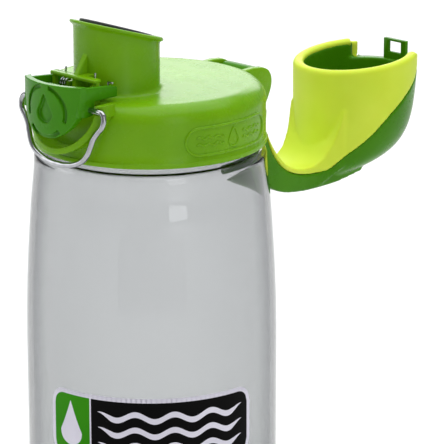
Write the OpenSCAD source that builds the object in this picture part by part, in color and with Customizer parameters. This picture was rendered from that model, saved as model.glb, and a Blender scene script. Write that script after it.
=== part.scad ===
// Kids' drinking bottle with a screw cap, slanted spout, flip-over hood,
// push-button latch and wire lock bail.
// +Z up, base centre at the origin, latch towards -Y, hood hinge towards +Y.
// The rest pose has the hood open and the bail hanging down.

/* [Bottle] */
// Radius of the bottle body
body_r = 36.4; // [36.1:0.1:36.8]
// Height of the cap's lower edge above the table
cap_z = 137.5; // [120:0.5:200]
// Wall thickness of the bottle
bottle_wall = 1.7; // [1.2:0.1:2.2]
// Radius of the neck under its thread
neck_r = 29.9; // [29.7:0.1:30]

/* [Cap] */
// Radius of the cap skirt
skirt_r = 33; // [32.9:0.1:33.2]
// Height of the flat deck above the cap's lower edge
deck_h = 17.3; // [17.1:0.1:17.4]
// Inside radius of the cap skirt
bore_r = 31.5; // [31.4:0.1:31.6]
// Rise of the screw thread in one turn
pitch = 4; // [3.8:0.1:4.2]

/* [Spout] */
// Outside radius of the spout tube
spout_r = 12.1; // [11.8:0.1:12.2]
// Wall thickness of the spout tube
spout_wall = 1.8; // [1.5:0.1:2]
// Height of the middle of the slanted mouth above the cap's lower edge
mouth_h = 34.5; // [34:0.1:34.6]
// Slant of the mouth, high side towards the latch
mouth_tilt = 16.7; // [16:0.1:17]

/* [Hood] */
// Angle from the open hood to the closed hood
swing = 175.5; // [175:0.1:175.8]
// Half length of the hood's oval rim
rim_b = 21.05; // [20.9:0.05:21.2]
// Half width of the hood's oval rim
rim_a = 17.7; // [17.5:0.1:17.9]
// Thickness of the hard core's wall
core_wall = 1.7; // [1.5:0.1:1.9]
// Thickness of the soft grip over the core
grip_wall = 1.6; // [1.4:0.1:1.7]
// Width of the arm
arm_w = 17; // [16:0.5:17.5]

/* [Latch and bail] */
// Half width of the button plate
plate_r = 11.2; // [11:0.1:11.4]
// Diameter of the bail wire
bail_wire = 1.6; // [1.4:0.1:1.6]
// Diameter of the latch spring wire
spring_wire = 0.6; // [0.5:0.1:0.7]

/* [Hidden] */
$fn = 96;

lip_r = skirt_r + 0.4;
lip_h = 1.45;
mouth_top = 13.6;
gasket_t = 1.2;
ceiling = mouth_top + gasket_t;
deck_fillet = 5;

spout_y = -13;
flange_r = spout_r + 0.9;
seal_rise = 0.9;

pin_y = 37.5;
pin_z = 12.3;
pin_r = 0.85;
ear_in = 6.9;
ear_out = 9.3;
knuckle_r = 3.4;

pivot_y = -33.8;
pivot_z = 16.5;
bail_r = bail_wire / 2;
plate_z = 19.2;
plate_t = 1.9;
shroud_z = 18;
shroud_in = plate_r + 2;
shroud_out = shroud_in + 1.7;
arm_in = 9.7;
arm_out = 10.9;
shelf_front = -30.2;
shelf_top = 23.9;
coil_y = -26;
coil_z = 19.6;
coil_r = 1.55;

thread_deep = 1.3;
thread_turns = 1.4;
thread_z = 3.4;

// Points on an arc in a plane
function arc(c, r, a0, a1, n = 8) =
    [for (i = [0:n]) let (a = a0 + (a1 - a0) * i / n) [c[0] + r * cos(a), c[1] + r * sin(a)]];

// A smooth curve through a few chosen points (Catmull-Rom)
function crom(a, b, c, d, t) =
    0.5 * (2 * b + (c - a) * t + (2 * a - 5 * b + 4 * c - d) * t * t + (3 * b - a - 3 * c + d) * t * t * t);
function smooth(p, n = 4) =
    let (m = len(p) - 1)
    [for (i = [0:m - 1]) for (k = [0:n - 1])
        crom(p[max(i - 1, 0)], p[i], p[i + 1], p[min(i + 2, m)], k / n), p[m]];

// Faces that join rings of equal length into one closed skin
function skin_faces(rings, sides) = concat(
    [[for (j = [0:sides - 1]) j]],
    [for (i = [0:rings - 2]) for (j = [0:sides - 1]) let (k = (j + 1) % sides)
        [i * sides + j, (i + 1) * sides + j, (i + 1) * sides + k, i * sides + k]],
    [[for (j = [sides - 1:-1:0]) (rings - 1) * sides + j]]);

// A round wire swept along a list of points
module wire(path, r, sides = 8) {
    n = len(path);
    pts = [for (i = [0:n - 1])
        let (d = path[min(i + 1, n - 1)] - path[max(i - 1, 0)],
            w = d / norm(d),
            s = abs(w[1]) < 0.9 ? [0, 1, 0] : [0, 0, 1],
            u0 = cross(s, w),
            u = u0 / norm(u0),
            v = cross(w, u))
        for (j = [0:sides - 1]) path[i] + r * (cos(360 * j / sides) * u + sin(360 * j / sides) * v)];
    polyhedron(points = pts, faces = skin_faces(n, sides), convexity = 6);
}

// A solid of revolution from an (r, z) outline
module turned(outline) {
    rotate_extrude($fn = 128) polygon(outline);
}

// A (y, z) outline extruded across the bottle's middle plane
module across(width) {
    rotate([90, 0, 90]) translate([0, 0, -width / 2]) linear_extrude(width, convexity = 6) children();
}

// A round bar along X
module bar_x(r, x0, x1) {
    translate([x0, 0, 0]) rotate([0, 90, 0]) cylinder(r = r, h = x1 - x0, $fn = 48);
}

// A helical thread ridge in short turned steps: side 1 stands out, -1 stands in
module thread_ridge(root, side) {
    step = 24;
    count = thread_turns * 360 / step;
    for (i = [0:count - 1]) rotate(i * step) translate([0, 0, pitch * i * step / 360])
        rotate_extrude(angle = step + 0.5, $fn = 96)
        polygon([[root - side * 0.3, -1], [root + side * thread_deep, -0.5],
            [root + side * thread_deep, 0.5], [root - side * 0.3, 1]]);
}

// ---- bottle ----

function shoulder() = concat(
    smooth([[body_r, cap_z - 56], [body_r - 0.3, cap_z - 43], [body_r - 0.9, cap_z - 31],
        [body_r - 1.8, cap_z - 18], [body_r - 2.6, cap_z - 10], [body_r - 3, cap_z - 5]], 3),
    arc([body_r - 6.4, cap_z - 4.4], 3.4, 10, 88, 6));

module bottle() {
    foot = 5;
    groove = 2.2;
    lip = [[neck_r, cap_z + mouth_top], [neck_r - bottle_wall, cap_z + mouth_top]];
    neck_in = neck_r - bottle_wall;
    color([0.78, 0.8, 0.8, 0.4]) union() {
        turned(concat(
            [[0, 0], [12, 0], [14, groove], [23, groove], [25, 0]],
            arc([body_r - foot, foot], foot, -90, 0, 8),
            shoulder(),
            [[neck_r, cap_z - 0.6]],
            lip,
            [[neck_in, cap_z - 1.6]],
            [for (i = [len(shoulder()) - 3:-1:0]) shoulder()[i] - [bottle_wall, 0.9]],
            arc([body_r - foot, foot], foot - bottle_wall, 0, -80, 8),
            [[25.6, bottle_wall], [23.4, groove + bottle_wall], [13.6, groove + bottle_wall],
                [11.6, bottle_wall], [0, bottle_wall]]));
        translate([0, 0, cap_z + thread_z]) thread_ridge(neck_r, 1);
    }
}

// ---- cap ----

module skirt_shell() {
    difference() {
        turned(concat(
            [[0, 0], [lip_r, 0], [lip_r, lip_h - 0.3], [skirt_r, lip_h + 0.2]],
            arc([skirt_r - deck_fillet, deck_h - deck_fillet], deck_fillet, 0, 90, 10),
            [[0, deck_h]]));
        translate([0, 0, -1]) cylinder(r = bore_r, h = ceiling + 1, $fn = 128);
    }
}

// The half space above the slanted mouth, lifted by off along its normal
module above_mouth(off) {
    translate([0, spout_y, mouth_h]) rotate([-mouth_tilt, 0, 0]) translate([-40, -40, off]) cube([80, 80, 60]);
}

module spout_tube() {
    difference() {
        union() {
            translate([0, spout_y, deck_h - 1]) cylinder(r = spout_r, h = 40);
            translate([0, spout_y, deck_h - 1]) cylinder(r = spout_r + 0.7, h = 1.8);
        }
        above_mouth(0);
    }
    difference() {
        translate([0, spout_y, deck_h + 5]) cylinder(r = flange_r, h = 40);
        above_mouth(0);
        difference() {
            translate([-30, spout_y - 30, 0]) cube([60, 60, 80]);
            above_mouth(-1);
        }
    }
}

// Outline of the U-shaped cradle round the button, in (x, z)
module cradle_ring() {
    difference() {
        union() {
            translate([0, shroud_z]) circle(r = shroud_out);
            for (s = [-1, 1]) translate([s * (shroud_in + 0.85) - 0.95, pivot_z - 2]) square([1.9, 3.6]);
        }
        translate([0, shroud_z]) circle(r = shroud_in);
        translate([-30, shroud_z + 0.1]) square([60, 30]);
    }
}

module cradle() {
    bulge = 22.2;
    intersection() {
        translate([0, -28, 0]) rotate([90, 0, 0]) linear_extrude(12, convexity = 4) cradle_ring();
        union() {
            translate([0, -38.5 + bulge, -2]) cylinder(r = bulge, h = 30, $fn = 128);
            for (s = [-1, 1]) translate([s * 13.5, pivot_y, pivot_z]) rotate([0, 90, 0])
                cylinder(r = 2.1, h = 6, center = true, $fn = 48);
        }
        difference() {
            translate([-20, -50, 0]) cube([40, 40, 18.1]);
            translate([0, 0, -1]) cylinder(r = skirt_r - 0.8, h = 30, $fn = 128);
        }
    }
}

module shelf() {
    translate([-9, shelf_front, shelf_top - 1.1]) cube([18, 2.6, 1.1]);
    translate([-3.2, shelf_front + 1.2, shelf_top - 1.1]) cube([6.4, 6, 1.1]);
    for (x = [-8.95, -0.8, 7.75])
        translate([x, shelf_front + 0.7, 15.2]) cube([x < -8 || x > 7 ? 1.2 : 1.6, 1.45, shelf_top - 15.6]);
    // central fin that braces the spout
    across(1.8) polygon([[shelf_front + 1, shelf_top - 0.5], [spout_y - spout_r + 0.6, shelf_top + 6],
        [spout_y - spout_r + 2, deck_h - 0.5], [shelf_front + 1, deck_h - 1.5]]);
    // posts and rods that carry the two springs
    for (s = [-1, 1]) {
        translate([0, coil_y, coil_z]) if (s > 0) bar_x(1.1, 4.6, 8.9);
        else bar_x(1.1, -8.9, -4.6);
        translate([s * 4.5 - 0.6, coil_y - 1.3, deck_h - 0.8]) cube([1.2, 2.6, coil_z - deck_h + 2]);
    }
}

module ear_outline() {
    polygon(concat([[28.5, 16.4], [33.4, 16.6]], smooth([[37.2, 16.2], [39.6, 15], [40.9, 12.6], [40.6, 9.4], [38.6, 5.2]], 3),
        [[32.6, 1.8], [28.5, 4]]));
}

module ears() {
    difference() {
        for (s = [-1, 1]) translate([s * (ear_in + ear_out) / 2, 0, 0]) across(ear_out - ear_in) ear_outline();
        cylinder(r = skirt_r - 0.7, h = ceiling + 0.4, $fn = 128);
    }
}

// Raised oval frame on the +X side of the skirt
module nameplate() {
    raised = 0.45;
    intersection() {
        difference() {
            translate([0, 0, 1]) cylinder(r = skirt_r + raised, h = 12, $fn = 128);
            cylinder(r = skirt_r - 0.2, h = 14, $fn = 128);
        }
        translate([10, 0, 7]) rotate([90, 0, 90]) linear_extrude(40) difference() {
            frame_pad(15.6, 4.3);
            frame_pad(14.8, 3.5);
        }
    }
}

module frame_pad(a, b) {
    for (s = [-1, 1]) translate([s * (a - b), 0]) circle(r = b, $fn = 48);
    square([2 * (a - b), 2 * b], center = true);
}

// A plain water drop
module drop_shape(r) {
    polygon(concat(arc([0, 0], r, 150, 390, 12), [[0, 2.2 * r]]));
}

module cap() {
    color([0.4, 0.66, 0.04]) translate([0, 0, cap_z]) difference() {
        union() {
            skirt_shell();
            translate([0, 0, thread_z + pitch / 2]) rotate(7) thread_ridge(bore_r, -1);
            spout_tube();
            cradle();
            shelf();
            ears();
            nameplate();
        }
        translate([0, spout_y, 10]) cylinder(r = spout_r - spout_wall, h = 60);
        translate([0, pin_y, pin_z]) bar_x(pin_r + 0.05, -20, 20);
        translate([0, pivot_y, pivot_z]) bar_x(bail_r + 0.05, -20, -8);
        translate([0, pivot_y, pivot_z]) bar_x(bail_r + 0.05, 8, 20);
    }
}

module neck_gasket() {
    color([0.55, 0.56, 0.57]) translate([0, 0, cap_z + mouth_top]) difference() {
        cylinder(r = 31.2, h = gasket_t);
        translate([0, 0, -1]) cylinder(r = 27.9, h = 4);
    }
}

module spout_seal() {
    r = spout_r - spout_wall;
    color([0.2, 0.21, 0.23]) translate([0, 0, cap_z]) difference() {
        translate([0, spout_y, 20]) cylinder(r = r, h = 40);
        translate([0, spout_y, 10]) cylinder(r = r - 1.4, h = 60);
        above_mouth(seal_rise);
        difference() {
            translate([-30, spout_y - 30, 0]) cube([60, 60, 80]);
            above_mouth(-5);
        }
    }
}

module hinge_pin() {
    color([0.75, 0.76, 0.78]) translate([0, pin_y, cap_z + pin_z]) bar_x(pin_r, -ear_out + 0.15, ear_out - 0.15);
}

// ---- hood, drawn open ----

// The rim's two ends, in the middle plane
rim_rear = [67.5, 9];
rim_front = [109.6, 11.9];
rim_mid = (rim_rear[0] + rim_front[0]) / 2;

// Oval outline of the cup, drawn in by inset
module oval(inset) {
    n = 36;
    polygon([for (j = [0:n - 1]) [(rim_a - inset) * sin(360 * j / n), rim_mid + (rim_b - inset) * cos(360 * j / n)]]);
}

// Side outline of the cup, drawn in by inset
function cup_side(inset) = concat(
    [rim_rear, [67.5 + inset, -4], [66.6 + inset, -12]],
    [[63.5 + inset, -19 + inset], [61 + inset, -25.2 + inset], [72, -25.6 + inset], [82.5, -24.3 + inset]],
    [[92.6 - inset, -21.8 + inset], [99.6 - inset, -18.2 + inset], [104.4 - inset, -13.4]],
    [[106.6 - inset, -8], [108.6 - inset, -1], rim_front]);

// End outline of the cup, drawn in by inset
function cup_end(inset) =
    let (a = rim_a - inset, k = 9)
    concat([[a, 14], [a, -10]], arc([a - k, -25.8 + k + inset], k, -10, -90, 6),
        arc([k - a, -25.8 + k + inset], k, -90, -170, 6), [[-a, -10], [-a, 14]]);

module cup(inset) {
    intersection() {
        translate([0, 0, -40]) linear_extrude(60) oval(inset);
        across(60) polygon(cup_side(inset));
        translate([0, 130, 0]) rotate([90, 0, 0]) linear_extrude(90) polygon(cup_end(inset));
    }
}

// The hollow of the cup, flat at the bottom
module hollow() {
    w = core_wall + grip_wall;
    intersection() {
        translate([0, 0, -40]) linear_extrude(60) oval(w);
        across(60) polygon([[60, -12], [67, -14.5], [72, -16.5], [98, -16], [102.2, -12.5], [104, -7], [106, 0],
            [108, 20], [60, 20]]);
    }
}

arm_outer = [[35.6, 9.5], [36.1, 3], [36.3, -6], [37, -12], [38.4, -17], [41.5, -21.2], [47, -23.9],
    [54, -25.2], [62.6, -25.8], [72, -25.6], [82.5, -24.3], [92.6, -21.8], [99.6, -18.2]];
arm_inner = [[40.9, 11.5], [40.4, 6], [39.9, 0], [40.3, -5.8], [43.4, -12.1], [48.1, -17], [53.9, -19.6],
    [60.2, -20.7], [66, -20.9]];
// Line that parts the soft grip from the hard core
seam = [[66, -20.9], [70.2, -18.4], [74.1, -15.7], [79, -11.4], [85.5, -5.4], [92.2, -1.1], [97.6, 2.1],
    [104, 6.2], [112, 9]];

module arm_side() {
    polygon(concat(smooth(arm_outer, 3), [[94, -15], [66, -16.5]],
        [for (i = [len(arm_inner) - 1:-1:0]) arm_inner[i]]));
}

module arm() {
    across(arm_w) difference() {
        arm_side();
        translate([30, 3]) square([20, 20]);
    }
    across(2 * ear_in - 0.6) intersection() {
        arm_side();
        translate([30, -10]) square([20, 30]);
    }
    translate([0, pin_y, pin_z]) bar_x(knuckle_r, -ear_in + 0.3, ear_in - 0.3);
}

// Everything above the seam line
module above_seam() {
    across(60) polygon(concat(seam, [[112, 40], [60, 40], [60, -20.7]]));
}

// The notch at the hood's far end, over the button's arms
module notch() {
    translate([-11.8, 97, 5.4]) cube([23.6, 20, 20]);
}

module tab() {
    difference() {
        across(9) polygon([[106.6, 0], [107.8, 0], [107.8, 11.8], [106.6, 11.8]]);
        across(5) polygon([[100, 7.6], [112, 7.6], [112, 11], [100, 11]]);
    }
}

// Round pad that closes on the spout's seal, set out in the closed pose
module plug() {
    translate([0, pin_y, pin_z]) rotate([-swing, 0, 0]) translate([0, -pin_y, -pin_z])
        translate([0, spout_y, mouth_h]) rotate([-mouth_tilt, 0, 0])
        translate([0, 0, seal_rise + 0.3]) cylinder(r = 10, h = 12);
}

module core_solid() {
    cup(grip_wall);
    difference() {
        cup(0);
        above_seam();
    }
    arm();
}

module hood_core() {
    color([0.24, 0.5, 0.02]) translate([0, 0, cap_z]) {
        difference() {
            core_solid();
            hollow();
            notch();
            translate([0, pin_y, pin_z]) bar_x(pin_r + 0.07, -20, 20);
            rim_top(1.3);
        }
        tab();
        intersection() {
            plug();
            cup(grip_wall + 0.2);
        }
    }
}

// The layer of the rim down to depth below its top
module rim_top(depth) {
    d = rim_front - rim_rear;
    translate([-30, rim_rear[0], rim_rear[1]]) rotate([atan2(d[1], d[0]), 0, 0])
        translate([0, -10, -depth]) cube([60, 70, 10]);
}

module hood_grip() {
    bead = 1.2;
    color([0.78, 0.86, 0.32]) translate([0, 0, cap_z]) {
        difference() {
            intersection() {
                cup(0);
                above_seam();
            }
            difference() {
                cup(grip_wall);
                rim_top(1.3);
            }
            hollow();
            arm();
            notch();
            translate([-4.6, 100, -1]) cube([9.2, 7.9, 20]);
        }
        difference() {
            across(arm_w) polygon(concat(
                smooth([[40.2, -4], [40.9, -6], [44.4, -11.4], [48.9, -16], [54.4, -18.4], [60, -19.2],
                    [65.2, -18]], 3),
                [[66.9, -15], [67.3, -20.6], [66, -20.9]],
                [for (i = [len(arm_inner) - 2:-1:3]) arm_inner[i]]));
            cup(0);
            arm();
        }
    }
}

// ---- latch ----

module plate_outline() {
    translate([0, plate_z]) circle(r = plate_r);
    translate([-plate_r, plate_z]) square([2 * plate_r, 4.2]);
}

module button_plate() {
    front = 20.3;
    difference() {
        intersection() {
            translate([0, -30, 0]) rotate([90, 0, 0]) linear_extrude(14) intersection() {
                plate_outline();
                translate([-20, 0]) square([40, plate_z + 4.2]);
            }
            difference() {
                translate([0, -41 + front, 0]) cylinder(r = front, h = 30, $fn = 128);
                translate([0, -41 + front, -1]) cylinder(r = front - plate_t, h = 40, $fn = 128);
            }
        }
        translate([0, -39.9, 15]) rotate([90, 0, 0]) linear_extrude(4) difference() {
            drop_shape(4.6);
            drop_shape(3.6);
        }
    }
}

module latch_button() {
    color([0.27, 0.58, 0.02]) translate([0, 0, cap_z]) difference() {
        union() {
            button_plate();
            for (s = [-1, 1]) translate([s * (arm_in + arm_out) / 2, 0, 0]) across(arm_out - arm_in) {
                polygon([[-37.6, 18.6], [-23.3, 18.6], [-23.3, 21.4], [-25.6, 22.05], [-37.6, 23.2]]);
                polygon([[-38.4, 15], [-35, 14.5], [-32.4, 14.9], [-31.9, 19], [-38, 19]]);
            }
            // the tooth, with a ramp on top for the hood's tab
            across(4.2) polygon([[-32, 19.9], [-32, 20.4], [-36.5, 22.6], [-39.6, 22.6], [-39.6, 19.4]]);
        }
        translate([0, pivot_y, pivot_z]) bar_x(bail_r + 0.06, -20, 20);
    }
}

// One torsion spring on its rod, for x > 0
function spring_path() = concat(
    [[5.9, coil_y - 0.9, coil_z + 5.4], [5.9, coil_y - 1.1, coil_z + 3]],
    [for (i = [0:44]) let (a = 180 - i * 20)
        [5.9 + 2.3 * i / 44, coil_y + coil_r * cos(a), coil_z + coil_r * sin(a)]],
    [[8.35, coil_y + 1.7, coil_z + 1.8], [8.7, coil_y + 1.3, coil_z + 2.94], [10.5, coil_y + 1.2, coil_z + 2.95]]);

module latch_springs() {
    color([0.7, 0.71, 0.73]) translate([0, 0, cap_z]) for (s = [0, 1]) mirror([s, 0, 0])
        wire(spring_path(), spring_wire / 2);
}

// ---- bail ----

// Half of the hanging wire as (x, distance from the pivot)
bail_half = [[15.3, 0], [16.2, 0.7], [16.6, 2.2], [16.1, 4], [14.6, 5.8], [13.2, 7.8], [12.4, 10], [11.4, 12.4],
    [9.4, 14.6], [6, 16.1], [2.4, 16.75], [0, 16.8]];

module lock_bail() {
    lean = 8;
    half = smooth(bail_half, 2);
    n = len(half);
    full = concat([for (p = half) [p[0], 0, -p[1]]], [for (i = [n - 2:-1:0]) [-half[i][0], 0, -half[i][1]]]);
    color([0.8, 0.81, 0.83]) translate([0, pivot_y, cap_z + pivot_z]) rotate([-lean, 0, 0]) {
        wire(full, bail_r);
        for (s = [-1, 1]) {
            bar_x(bail_r, s > 0 ? 9.9 : -15.4, s > 0 ? 15.4 : -9.9);
            translate([s * 15.4, 0, 0]) sphere(r = bail_r, $fn = 32);
        }
    }
}

bottle();
cap();
neck_gasket();
spout_seal();
hinge_pin();
hood_core();
hood_grip();
latch_button();
latch_springs();
lock_bail();
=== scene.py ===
# %% [markdown]
# # A child's drinking bottle with a flip hood
# The measured frame comes first. Every piece below is made in the frame's own
# metres, so a piece sits where the frame says, with no fitting afterwards.

# %% Load the frame
import bpy
import bmesh
import math
from mathutils import Vector, Matrix


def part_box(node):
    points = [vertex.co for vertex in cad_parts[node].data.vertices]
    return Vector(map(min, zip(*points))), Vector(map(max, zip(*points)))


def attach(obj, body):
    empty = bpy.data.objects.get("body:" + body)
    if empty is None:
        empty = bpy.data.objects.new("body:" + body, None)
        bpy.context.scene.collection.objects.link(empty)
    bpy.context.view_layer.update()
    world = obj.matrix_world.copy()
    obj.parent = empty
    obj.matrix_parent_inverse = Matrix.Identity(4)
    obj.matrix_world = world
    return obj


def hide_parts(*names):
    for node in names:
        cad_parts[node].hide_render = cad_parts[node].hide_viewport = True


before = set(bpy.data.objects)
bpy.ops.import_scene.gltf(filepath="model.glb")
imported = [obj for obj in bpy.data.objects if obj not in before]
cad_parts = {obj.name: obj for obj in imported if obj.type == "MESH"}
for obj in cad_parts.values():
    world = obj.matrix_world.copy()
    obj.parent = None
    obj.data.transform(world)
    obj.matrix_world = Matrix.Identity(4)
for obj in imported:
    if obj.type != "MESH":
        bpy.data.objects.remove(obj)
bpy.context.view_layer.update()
print("nodes in the frame:", sorted(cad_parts))

# %% [markdown]
# ## Sizes
# A maker works from a few driving sizes. They are in millimetres, as on a
# drawing, and heights on the cap count from the cap's lower edge.

# %% Driving sizes
MM = 0.001
vessel_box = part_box("bottle")
BODY_R = (vessel_box[1][0] - vessel_box[0][0]) / 2 / MM - 0.06
CAP_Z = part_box("cap")[0][2] / MM
MOUTH_TOP = vessel_box[1][2] / MM - CAP_Z
pin_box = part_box("hinge_pin")
PIN_Y = (pin_box[0][1] + pin_box[1][1]) / 2 / MM
PIN_Z = (pin_box[0][2] + pin_box[1][2]) / 2 / MM - CAP_Z
PIVOT = (-33.8, 16.5)
SKIRT_R = 33.0
DECK_H = 17.3
BORE_R = 31.5
NECK_R = 29.9
WALL = 1.7
PITCH = 4.0
SPOUT_Y = -13.0
SPOUT_R = 12.1
MOUTH_H = 34.5
MOUTH_TILT = math.radians(16.7)
SWING = math.radians(175.5)
print("cap edge at", round(CAP_Z, 2), "mm, pin at", round(PIN_Y, 2), round(PIN_Z, 2))

# %% [markdown]
# ## Small tools
# A turned shape, an extruded shape and a lofted shape cover nearly every
# moulded part. Each helper makes a closed mesh with faces that point out.

# %% Mesh helpers
def to_object(name, verts, faces, lift=0.0):
    """A mesh object from millimetre points, raised by lift."""
    mesh = bpy.data.meshes.new(name)
    mesh.from_pydata([(x * MM, y * MM, (z + lift) * MM) for x, y, z in verts], [], faces)
    mesh.validate()
    obj = bpy.data.objects.new(name, mesh)
    bpy.context.scene.collection.objects.link(obj)
    outward(obj)
    return obj


def outward(obj):
    """Merge doubles and turn every face outwards."""
    bm = bmesh.new()
    bm.from_mesh(obj.data)
    bmesh.ops.remove_doubles(bm, verts=bm.verts, dist=1e-7)
    bmesh.ops.recalc_face_normals(bm, faces=bm.faces)
    bm.to_mesh(obj.data)
    bm.free()


def smooth_shade(obj, angle=32):
    """Smooth shading, with edges sharper than the angle kept crisp."""
    bm = bmesh.new()
    bm.from_mesh(obj.data)
    for face in bm.faces:
        face.smooth = True
    for edge in bm.edges:
        sharp = len(edge.link_faces) == 2 and edge.calc_face_angle(0) > math.radians(angle)
        edge.smooth = not sharp
    bm.to_mesh(obj.data)
    bm.free()
    return obj


def lathe(name, outline, steps=128, centre=(0, 0), lift=0.0):
    """Turn a closed (r, z) outline about a vertical axis."""
    verts, faces, n = [], [], len(outline)
    for s in range(steps):
        a = 2 * math.pi * s / steps
        verts += [(centre[0] + r * math.cos(a), centre[1] + r * math.sin(a), z) for r, z in outline]
    for s in range(steps):
        t = (s + 1) % steps
        for i in range(n):
            k = (i + 1) % n
            faces.append((s * n + i, t * n + i, t * n + k, s * n + k))
    return to_object(name, verts, faces, lift)


def prism(name, outline, low, high, place, lift=0.0):
    """Extrude a 2D outline; place turns (u, v, depth) into x, y, z."""
    n = len(outline)
    verts = [place(u, v, low) for u, v in outline] + [place(u, v, high) for u, v in outline]
    faces = [tuple(range(n)), tuple(range(2 * n - 1, n - 1, -1))]
    faces += [(i, (i + 1) % n, n + (i + 1) % n, n + i) for i in range(n)]
    return to_object(name, verts, faces, lift)


def along_x(u, v, d):
    return (d, u, v)


def along_y(u, v, d):
    return (u, d, v)


def along_z(u, v, d):
    return (u, v, d)


def arc(cx, cy, r, a0, a1, n=8):
    """Points on an arc, angles in degrees."""
    turn = [math.radians(a0 + (a1 - a0) * i / n) for i in range(n + 1)]
    return [(cx + r * math.cos(a), cy + r * math.sin(a)) for a in turn]


def spline(points, n=6):
    """A smooth curve through a few chosen points (Catmull-Rom), in any dimension."""
    out, m = [], len(points) - 1
    for i in range(m):
        a, b = points[max(i - 1, 0)], points[i]
        c, d = points[i + 1], points[min(i + 2, m)]
        for k in range(n):
            t = k / n
            out.append(tuple(0.5 * (2 * q + (r - p) * t + (2 * p - 5 * q + 4 * r - s) * t * t
                                    + (3 * q - p - 3 * r + s) * t ** 3)
                             for p, q, r, s in zip(a, b, c, d)))
    out.append(tuple(points[-1]))
    return out


def applied(obj):
    """Replace the object's mesh with its evaluated one and remove the modifiers."""
    depsgraph = bpy.context.evaluated_depsgraph_get()
    mesh = bpy.data.meshes.new_from_object(obj.evaluated_get(depsgraph))
    obj.modifiers.clear()
    old = obj.data
    obj.data = mesh
    if old.users == 0:
        bpy.data.meshes.remove(old)
    return obj


def joined(obj, tool, how):
    """UNION, DIFFERENCE or INTERSECT with a tool, which is used up."""
    mod = obj.modifiers.new("cut", "BOOLEAN")
    mod.operation = how
    mod.solver = "MANIFOLD"
    mod.object = tool
    applied(obj)
    bpy.data.objects.remove(tool)
    return obj


def melt(obj, voxel, passes):
    """Remesh in small voxels and smooth, which rounds edges as a mould does."""
    mod = obj.modifiers.new("skin", "REMESH")
    mod.mode = "VOXEL"
    mod.voxel_size = voxel * MM
    mod.use_smooth_shade = True
    soft = obj.modifiers.new("soft", "SMOOTH")
    soft.factor = 0.5
    soft.iterations = passes
    applied(obj)
    print(obj.name, "has", len(obj.data.polygons), "faces")
    return obj


def rounded(obj, width, segments=3, angle=30):
    """Bevel every edge sharper than the angle."""
    mod = obj.modifiers.new("edge", "BEVEL")
    mod.width = width * MM
    mod.segments = segments
    mod.limit_method = "ANGLE"
    mod.angle_limit = math.radians(angle)
    mod.harden_normals = False
    applied(obj)
    return smooth_shade(obj, 40)


def finish(obj, material, body, slot, *nodes):
    """Give a piece its material and body, and hide the nodes that it stands for. The slot argument is not used."""
    obj.data.materials.clear()
    obj.data.materials.append(material)
    for face in obj.data.polygons:
        face.material_index = 0
    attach(obj, body)
    if nodes:
        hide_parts(*nodes)
    return obj

# %% [markdown]
# ## Materials
# Moulded polypropylene is glossy but never perfect: it has a faint flow
# mottle, a very fine orange peel and slightly duller patches where hands rub.
# Each recipe below layers those at real scale in object coordinates.

# %% Material helpers
def new_material(name, **sockets):
    """A Principled material with plain values set on its own sockets."""
    mat = bpy.data.materials.new(name)
    mat.use_nodes = True
    shader = mat.node_tree.nodes["Principled BSDF"]
    for key, value in sockets.items():
        shader.inputs[key.replace("_", " ")].default_value = value
    return mat, mat.node_tree, shader


def noise(tree, scale, detail=3.0, rough=0.5):
    """Noise at a given number of cells per metre, on object coordinates."""
    coord = tree.nodes.new("ShaderNodeTexCoord")
    node = tree.nodes.new("ShaderNodeTexNoise")
    node.inputs["Scale"].default_value = scale
    node.inputs["Detail"].default_value = detail
    node.inputs["Roughness"].default_value = rough
    tree.links.new(coord.outputs["Object"], node.inputs["Vector"])
    return node.outputs["Fac"]


def ramp(tree, source, low, high, start=0.35, end=0.65):
    """A colour ramp between two colours."""
    node = tree.nodes.new("ShaderNodeValToRGB")
    node.color_ramp.elements[0].position = start
    node.color_ramp.elements[0].color = (*low, 1)
    node.color_ramp.elements[1].position = end
    node.color_ramp.elements[1].color = (*high, 1)
    tree.links.new(source, node.inputs["Fac"])
    return node.outputs["Color"]


def spread(tree, source, low, high):
    """Map 0..1 to a range of values."""
    node = tree.nodes.new("ShaderNodeMapRange")
    node.inputs["To Min"].default_value = low
    node.inputs["To Max"].default_value = high
    tree.links.new(source, node.inputs["Value"])
    return node.outputs["Result"]


def bump(tree, shader, source, distance, strength=1.0):
    """Fine relief of a given depth in metres."""
    node = tree.nodes.new("ShaderNodeBump")
    node.inputs["Distance"].default_value = distance
    node.inputs["Strength"].default_value = strength
    tree.links.new(source, node.inputs["Height"])
    tree.links.new(node.outputs["Normal"], shader.inputs["Normal"])


def plastic(name, low, high, gloss, depth, **sockets):
    """Moulded plastic: flow mottle, rubbed patches and orange peel."""
    mat, tree, shader = new_material(name, **sockets)
    mottle = noise(tree, 60, 4)
    tree.links.new(ramp(tree, mottle, low, high), shader.inputs["Base Color"])
    rub = noise(tree, 190, 5, 0.6)
    tree.links.new(spread(tree, rub, gloss - 0.05, gloss + 0.07), shader.inputs["Roughness"])
    bump(tree, shader, noise(tree, 1500, 2), depth)
    return mat

# %% [markdown]
# Each resin is one call of the same recipe. The colours are a light and a
# dark tone of one pigment, because a moulding is never quite even.

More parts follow.
